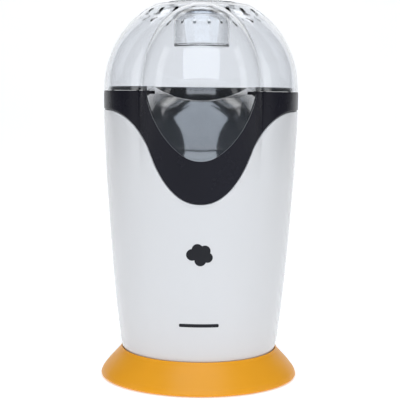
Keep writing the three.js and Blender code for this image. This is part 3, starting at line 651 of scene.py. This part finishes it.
nrm = normals2(dome)
nrm[0] = (1.0, 0.0)
nrm[-1] = (0.0, 1.0)
inner = [(p[0] - n[0] * HW, p[1] - n[1] * HW) for p, n in zip(dome, nrm)]
inner[0] = (76.8 - HW, EZ)
outer_path = [(p, 0) for p in dome] + [((29.0, CROWN), 0), ((24.9, CROWN), 0), ((24.4, CROWN - 0.2), 0), ((24.2, CROWN - 0.7), 0), ((24.2, 290), 2), ((24.2, 287.4), 2), ((24.6, 287), 2), ((25.4, 287), 2), ((25.8, 287.4), 2), ((25.8, 291), 2), ((25.8, CROWN - HW - 0.8), 2), ((26.4, CROWN - HW - 0.15), 1), ((29, CROWN - HW), 1)]
path = outer_path + [(p, 1) for p in inner[::-1]]
C = Vector((0.0, -12.0, EZ))


def nose_exit(d, inset):
    """How far along d from C the nose's ellipsoid is left."""
    S = Vector((47.6 - inset, 47.6 - inset, 66.1 - inset))
    E = Vector((0.0, -48.0, EZ))
    o = Vector(((C.x - E.x) / S.x, (C.y - E.y) / S.y, (C.z - E.z) / S.z))
    q = Vector((d.x / S.x, d.y / S.y, d.z / S.z))
    aa, bb, cc = q.dot(q), 2 * o.dot(q), o.dot(o) - 1
    disc = bb * bb - 4 * aa * cc
    return (-bb + math.sqrt(disc)) / (2 * aa) if disc > 0 else 0.0


hood_angles = []
NH = 288
for i in range(NH):
    hood_angles.append(2 * math.pi * i / NH)
cols = []
for a in hood_angles:
    col = []
    for (r, z), kind in path:
        g = Vector(at(a, r, z))
        if kind == 2:
            col.append(tuple(g))
            continue
        d = g - C
        l = d.length
        k = nose_exit(d, HW if kind == 1 else 0.0) * l
        h = 1.6
        m = max(l, k) + (h * (1 - abs(l - k) / h) ** 2 / 4 if abs(l - k) < h else 0.0)
        q = C + d * (m / l)
        col.append((q.x, q.y, min(q.z, CROWN)))
    cols.append(col)
v, f = skin(cols)
hood = put("hood_skin", v, f, CLEAR, "hood", ("hood",), "clear_plastic", sharp=30)
cutters = []
for k in range(22):
    a = rad(-90 + 180 / 22 + 360 / 22 * k)
    u, w = (math.cos(a), math.sin(a), 0), (-math.sin(a), math.cos(a), 0)
    cutters.append(prism(rect(2.8, 1.5, 0.7, 3), (47.4 * math.cos(a), 47.4 * math.sin(a), 0), u, w, Z, 272, 302))
boolean(hood, *gather(cutters))

# ------------------------------------------------------------------ measuring cup
cup_profile = [(0, CUP0, 0), (22.5, CUP0, 1.2), (23.5, CUP1 - 0.8, 0.4), (FLANGE_R, CUP1 - 0.8, 0.3), (FLANGE_R, CUP1, 0.4), (22.3, CUP1, 0.8), (21.0, CUP0 + 1.8, 1.0), (0, CUP0 + 1.8, 0)]
prof = rounded(cup_profile, steps=5, closed=False)
v, f = revolve(prof, 120)
put("measuring_cup_skin", v, f, CLEAR_CUP, "cup", ("measuring_cup",), "clear_plastic")

# ------------------------------------------------------------------ popping chamber
lo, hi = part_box("popping_chamber")
CH0, CH1 = lo.z * 1000, hi.z * 1000
ch = [(0, CH0, 0), (42.5, CH0, 1.5), (44.5, CH0 + 2, 1.5), (44.5, CH1 - 1.2, 0.6), (48, CH1 - 1.2, 0.3), (48, CH1, 0.3), (43.5, CH1, 1.0), (43.5, CH0 + 2.6, 1.5), (41.9, CH0 + 1.1, 1.5), (0, CH0 + 1.1, 0)]
line = rounded(ch, steps=5, closed=False)
dense = []
for i in range(len(line) - 1):
    (r0, z0), (r1, z1) = line[i], line[i + 1]
    n = max(1, int(math.hypot(r1 - r0, z1 - z0) / 8))
    dense += [(r0 + (r1 - r0) * k / n, z0 + (z1 - z0) * k / n) for k in range(n)]
dense.append(line[-1])
v, f = revolve(dense, 112)
chamber = put("popping_chamber_skin", v, f, ALU, "housing", ("popping_chamber",), "aluminium")
cutters = []
for k in range(14):
    a = rad(3 + 360 / 14 * k)
    n_, t_ = (math.cos(a), math.sin(a), 0), (-math.sin(a), math.cos(a), 0)
    tilt = rad(28)
    u = tuple(math.cos(tilt) * Z[i] + math.sin(tilt) * t_[i] for i in range(3))
    w = tuple(-math.sin(tilt) * Z[i] + math.cos(tilt) * t_[i] for i in range(3))
    cutters.append(prism(stadium(11, 1.9), (44 * n_[0], 44 * n_[1], 130), u, w, n_, -4, 4))
boolean(chamber, *gather(cutters))
tabs = []
for d in (90, -12, 192):
    a = rad(d)
    u, w = (math.cos(a), math.sin(a), 0), (-math.sin(a), math.cos(a), 0)
    tabs.append(prism(rect(5.9, 4.0, 1.5), (51.6 * math.cos(a), 51.6 * math.sin(a), 0), u, w, Z, CH1 - 1.2, CH1))
put("chamber_tabs", *gather(tabs), ALU, "housing", slot="aluminium")

# ------------------------------------------------------------------ switch and gland
def bevelled(name, parts, mat, body, replaces, slot, width=0.35, segments=3):
    ob = put(name, *parts, mat, body, replaces, slot, sharp=30)
    m = ob.modifiers.new("edges", "BEVEL")
    m.width = width / 1000
    m.segments = segments
    m.limit_method = "ANGLE"
    m.angle_limit = rad(35)
    m.harden_normals = False
    return ob


sw = put("switch_bezel", *gather([prism(rect(SW_W, SW_H, 1.2), (0, 0, SW_Z), X, Z, Y, SW_Y1 - 2.2, SW_Y1), prism(rect(6.5, 9.5, 0.4), (0, 0, SW_Z), X, Z, Y, SW_Y0, SW_Y1 - 1.5)]), BLACK, "housing", ("switch_housing",), "black_plastic")
boolean(sw, *prism(rect(5.4, 8.4, 0.3), (0, 0, SW_Z), X, Z, Y, SW_Y0 + 2.2, SW_Y1 + 3))
m = sw.modifiers.new("edges", "BEVEL")
m.width, m.segments, m.limit_method, m.angle_limit = 0.0004, 3, "ANGLE", rad(40)

lo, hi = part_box("switch_rocker")
RZ = SW_Z
RY = 64.4
side_view = [(-3.2, -2.6), (-3.2, 2.6), (1.6, 6.6), (6.6, 7.0), (5.75, 3.5), (5.3, 0.0), (5.75, -3.5), (6.6, -7.0), (1.6, -6.6)]
side_view = rounded([(p[0], p[1], 0.5) for p in side_view], steps=3)
c9, s9 = math.cos(rad(9)), math.sin(rad(9))
pts = [(u * c9 - w * s9 + RY, u * s9 + w * c9 + RZ) for u, w in side_view]
n = len(pts)
v = [(-5.0, y, z) for y, z in pts] + [(5.0, y, z) for y, z in pts]
f = [tuple(range(n))[::-1], tuple(range(n, 2 * n))] + [(i, (i + 1) % n, n + (i + 1) % n, n + i) for i in range(n)]
bevelled("switch_rocker_skin", (v, f), BLACK, "rocker", ("switch_rocker",), "black_plastic", 0.4)


def turned_y(profile, z, segments=48):
    """Profile of (r, y) turned about an axis along Y at height z."""
    cols = []
    for i in range(segments):
        a = 2 * math.pi * i / segments
        cols.append([(r * math.cos(a), y, z + r * math.sin(a)) for r, y in profile])
    return skin(cols, True, True)


g = [(3.7, GL_Y0, 0.3), (6.6, GL_Y0, 0.8), (6.6, GL_Y0 + 2.5, 0.5), (5.4, GL_Y0 + 2.5, 0.2), (5.4, GL_Y1 - 2.4, 0.2), (GL_R, GL_Y1 - 2.4, 0.6), (GL_R, GL_Y1 - 0.7, 0.8), (5.2, GL_Y1, 0.8), (3.7, GL_Y1, 0.5)]
put("cord_gland_skin", *turned_y(rounded(g, steps=4), GL_Z), RUBBER, "housing", ("cord_gland",), "rubber")

# ------------------------------------------------------------------ underside
def bottom_plate():
    lo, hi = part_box("bottom_plate")
    z0, z1, r = lo.z * 1000, hi.z * 1000, (hi.x - lo.x) * 500
    v, f = revolve(rounded([(0, z0, 0), (r, z0, 0.6), (r, z1, 0.3), (0, z1, 0)], steps=3, closed=False), 128)
    ob = put("bottom_plate_skin", v, f, BLACK, "housing", ("bottom_plate",), "black_plastic")
    cut = []
    for k in range(16):
        a = rad(11.25 + 22.5 * k)
        u, w = (math.cos(a), math.sin(a), 0), (-math.sin(a), math.cos(a), 0)
        cut.append(prism(stadium(24, 3.2), (34 * math.cos(a), 34 * math.sin(a), 0), u, w, Z, 0, 10))
    for k in range(4):
        a = rad(45 + 90 * k)
        cut.append(prism([(2.0 * math.cos(2 * math.pi * j / 24), 2.0 * math.sin(2 * math.pi * j / 24)) for j in range(24)], (56 * math.cos(a), 56 * math.sin(a), 0), X, Y, Z, 0, 10))
    boolean(ob, *gather(cut))
    ob.data.set_sharp_from_angle(angle=rad(10))


bottom_plate()
for i in range(1, 5):
    lo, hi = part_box(f"foot_{i}")
    cx, cy, r = (lo.x + hi.x) * 500, (lo.y + hi.y) * 500 - AX, (hi.x - lo.x) * 500
    v, f = revolve(rounded([(0, 0, 0), (6.6, 0, 0.5), (r, 0.8, 0.6), (r, 3.9, 0.4), (0, 3.9, 0)], steps=4, closed=False), 40)
    put(f"foot_{i}_skin", [(x + cx, y + cy, z) for x, y, z in v], f, RUBBER, "housing", (f"foot_{i}",), "rubber")

# ------------------------------------------------------------------ printed mark: a plain popped kernel over a bar
def decal(name, outline, cx, cz, rings=6):
    """A thin printed patch that follows the body's front. outline is star-shaped about its own centre."""
    verts, faces = [], []
    n = len(outline)
    ox = sum(p[0] for p in outline) / n
    oz = sum(p[1] for p in outline) / n

    def place(x, z, lift):
        a = math.asin(x / outer_r(0, z))
        r = outer_r(a, z) + lift
        return (r * math.sin(a), -r * math.cos(a), z)

    for lift in (0.07, -0.25):
        verts.append(place(cx + ox, cz + oz, lift))
        for k in range(1, rings + 1):
            for x, z in outline:
                t = k / rings
                verts.append(place(cx + ox + (x - ox) * t, cz + oz + (z - oz) * t, lift))
    block = 1 + n * rings
    for s in (0, block):
        for j in range(n):
            q = (j + 1) % n
            faces.append((s, s + 1 + j, s + 1 + q))
            for k in range(rings - 1):
                a0 = s + 1 + k * n
                faces.append((a0 + j, a0 + n + j, a0 + n + q, a0 + q))
    for j in range(n):
        q = (j + 1) % n
        o = 1 + n * (rings - 1)
        faces.append((o + j, block + o + j, block + o + q, o + q))
    return verts, faces


def dotted(outline, step):
    """The closed outline with points no further apart than step."""
    out = []
    for i, (x0, z0) in enumerate(outline):
        x1, z1 = outline[(i + 1) % len(outline)]
        n = max(1, math.ceil(math.hypot(x1 - x0, z1 - z0) / step))
        out += [(x0 + (x1 - x0) * k / n, z0 + (z1 - z0) * k / n) for k in range(n)]
    return out


def lobes(circles, n=120):
    """Outline of a union of discs that all hold the origin's surroundings."""
    out = []
    for i in range(n):
        a = 2 * math.pi * i / n
        d = (math.cos(a), math.sin(a))
        best = 0.5
        for x, z, r in circles:
            b = d[0] * x + d[1] * z
            disc = b * b - (x * x + z * z - r * r)
            if disc > 0:
                best = max(best, b + math.sqrt(disc))
        out.append((best * d[0], best * d[1]))
    return out


kernel = lobes([(-5.6, 0.6, 4.4), (-1.6, 4.6, 4.3), (4.0, 3.6, 4.2), (6.0, -1.4, 3.9), (0.6, -3.6, 4.4), (0, 0, 4.0)])
parts = [decal("k", kernel, 0, 106)]
parts.append(decal("b", dotted(rect(15.0, 1.3, 0.9, 4), 0.8), 0, 52, 12))
put("front_mark", *gather(parts), INK, "housing", slot="black_plastic", sharp=60)

# ------------------------------------------------------------------ finishes for the pieces carried over from CAD
FINISH = {
    "orange_plastic": ORANGE, "black_plastic": BLACK, "white_plastic": WHITE, "dark_plastic": DARK, "slate_plastic": SLATE, "clear_plastic": CLEAR,
    "aluminium": ALU, "steel": STEEL, "rubber": RUBBER, "mica": MICA, "nichrome": WIRE, "nylon": NYLON, "board": BOARD, "copper": COPPER,
    "red_insulation": RED, "black_insulation": SLEEVE,
}
slot_of = {s["node"]: s["material_slot"] for s in frame["record"]["subparts"]}
for name, ob in nodes.items():
    mat = FINISH[slot_of[name]]
    ob.data.materials.clear() if not ob.material_slots else None
    for s in ob.material_slots:
        s.material = mat

# ------------------------------------------------------------------ floor, light, camera
def floor():
    m, nt, b = nodes_of("studio_paper")
    nt.links.new(ramp(nt, noise(nt, 3, 3), [(0.3, (0.9, 0.9, 0.9)), (0.7, (0.93, 0.93, 0.93))]), b.inputs["Base Color"])
    b.inputs["Roughness"].default_value = 0.9
    b.inputs["Specular IOR Level"].default_value = 0.1
    b.inputs["Emission Color"].default_value = (1, 1, 1, 1)
    b.inputs["Emission Strength"].default_value = 0.38
    prof = [(-1.3, 0.0), (0.9, 0.0)]
    for k in range(1, 17):
        t = math.pi / 2 * k / 16
        prof.append((0.9 + 1.1 * math.sin(t), 1.1 - 1.1 * math.cos(t)))
    prof.append((2.0, 4.0))
    v = [(x, y, z - 0.0002) for x in (-1.7, 1.7) for y, z in prof]
    n = len(prof)
    me = bpy.data.meshes.new("floor")
    me.from_pydata(v, [], [(i, i + 1, n + i + 1, n + i) for i in range(n - 1)])
    for p in me.polygons:
        p.use_smooth = True
    me.materials.append(m)
    ob = bpy.data.objects.new("floor", me)
    bpy.context.scene.collection.objects.link(ob)


floor()


def area(name, where, target, size, power, colour=(1, 1, 1)):
    l = bpy.data.lights.new(name, "AREA")
    l.shape = "RECTANGLE"
    l.size, l.size_y = size
    l.energy = power
    l.color = colour
    ob = bpy.data.objects.new(name, l)
    bpy.context.scene.collection.objects.link(ob)
    ob.location = where
    ob.rotation_euler = (Vector(target) - Vector(where)).to_track_quat("-Z", "Y").to_euler()
    return ob


mid = (0, 0, 0.15)
area("key_top", (0.0, -0.35, 1.35), mid, (1.15, 1.0), 9.0, (0.8, 0.89, 1.0))
area("front_box", (0.0, -1.4, 1.0), (0, 0, 0.2), (2.0, 1.0), 14.5, (0.86, 0.92, 1.0))
area("side_left", (-1.3, -0.2, 0.5), mid, (0.35, 1.1), 1.2)
area("side_right", (1.3, -0.2, 0.5), mid, (0.35, 1.1), 1.2)
area("back_wash", (0.0, 1.0, 1.9), (0, 1.9, 0.3), (2.4, 0.8), 9.0)

scene = bpy.context.scene
world = bpy.data.worlds.new("studio")
scene.world = world
world.use_nodes = True
wt = world.node_tree
bg = wt.nodes["Background"]
bg.inputs["Color"].default_value = (1.0, 1.0, 1.0, 1)
bg.inputs["Strength"].default_value = 1.0
dim = wt.nodes.new("ShaderNodeBackground")
dim.inputs["Color"].default_value = (0.93, 0.96, 1.0, 1)
dim.inputs["Strength"].default_value = 0.12
path = wt.nodes.new("ShaderNodeLightPath")
bounced = wt.nodes.new("ShaderNodeMath")
bounced.operation = "ADD"
wt.links.new(path.outputs["Glossy Depth"], bounced.inputs[0])
wt.links.new(path.outputs["Diffuse Depth"], bounced.inputs[1])
straight = wt.nodes.new("ShaderNodeMath")
straight.operation = "LESS_THAN"
straight.inputs[1].default_value = 0.5
wt.links.new(bounced.outputs[0], straight.inputs[0])
through = wt.nodes.new("ShaderNodeMath")
through.operation = "MULTIPLY"
wt.links.new(path.outputs["Is Transmission Ray"], through.inputs[0])
wt.links.new(straight.outputs[0], through.inputs[1])
either = wt.nodes.new("ShaderNodeMath")
either.operation = "MAXIMUM"
wt.links.new(path.outputs["Is Camera Ray"], either.inputs[0])
wt.links.new(through.outputs[0], either.inputs[1])
pick = wt.nodes.new("ShaderNodeMixShader")
wt.links.new(either.outputs[0], pick.inputs[0])
wt.links.new(dim.outputs[0], pick.inputs[1])
wt.links.new(bg.outputs[0], pick.inputs[2])
wt.links.new(pick.outputs[0], wt.nodes["World Output"].inputs["Surface"])
scene.view_settings.view_transform = "Standard"
scene.view_settings.look = "None"
scene.view_settings.exposure = 0.0

cam = bpy.data.cameras.new("camera")
cam.sensor_width = 36.0
cam.lens = 36.0 * 1125 / 400
cam.shift_x = -0.0002
cam.clip_start, cam.clip_end = 0.02, 50
co = bpy.data.objects.new("camera", cam)
scene.collection.objects.link(co)
co.matrix_world = Matrix.Translation((0, AX / 1000 - 0.9, 0.227)) @ Matrix.Rotation(rad(90 - 5.46), 4, "X") @ Matrix.Rotation(rad(0.57), 4, "Z")
scene.camera = co
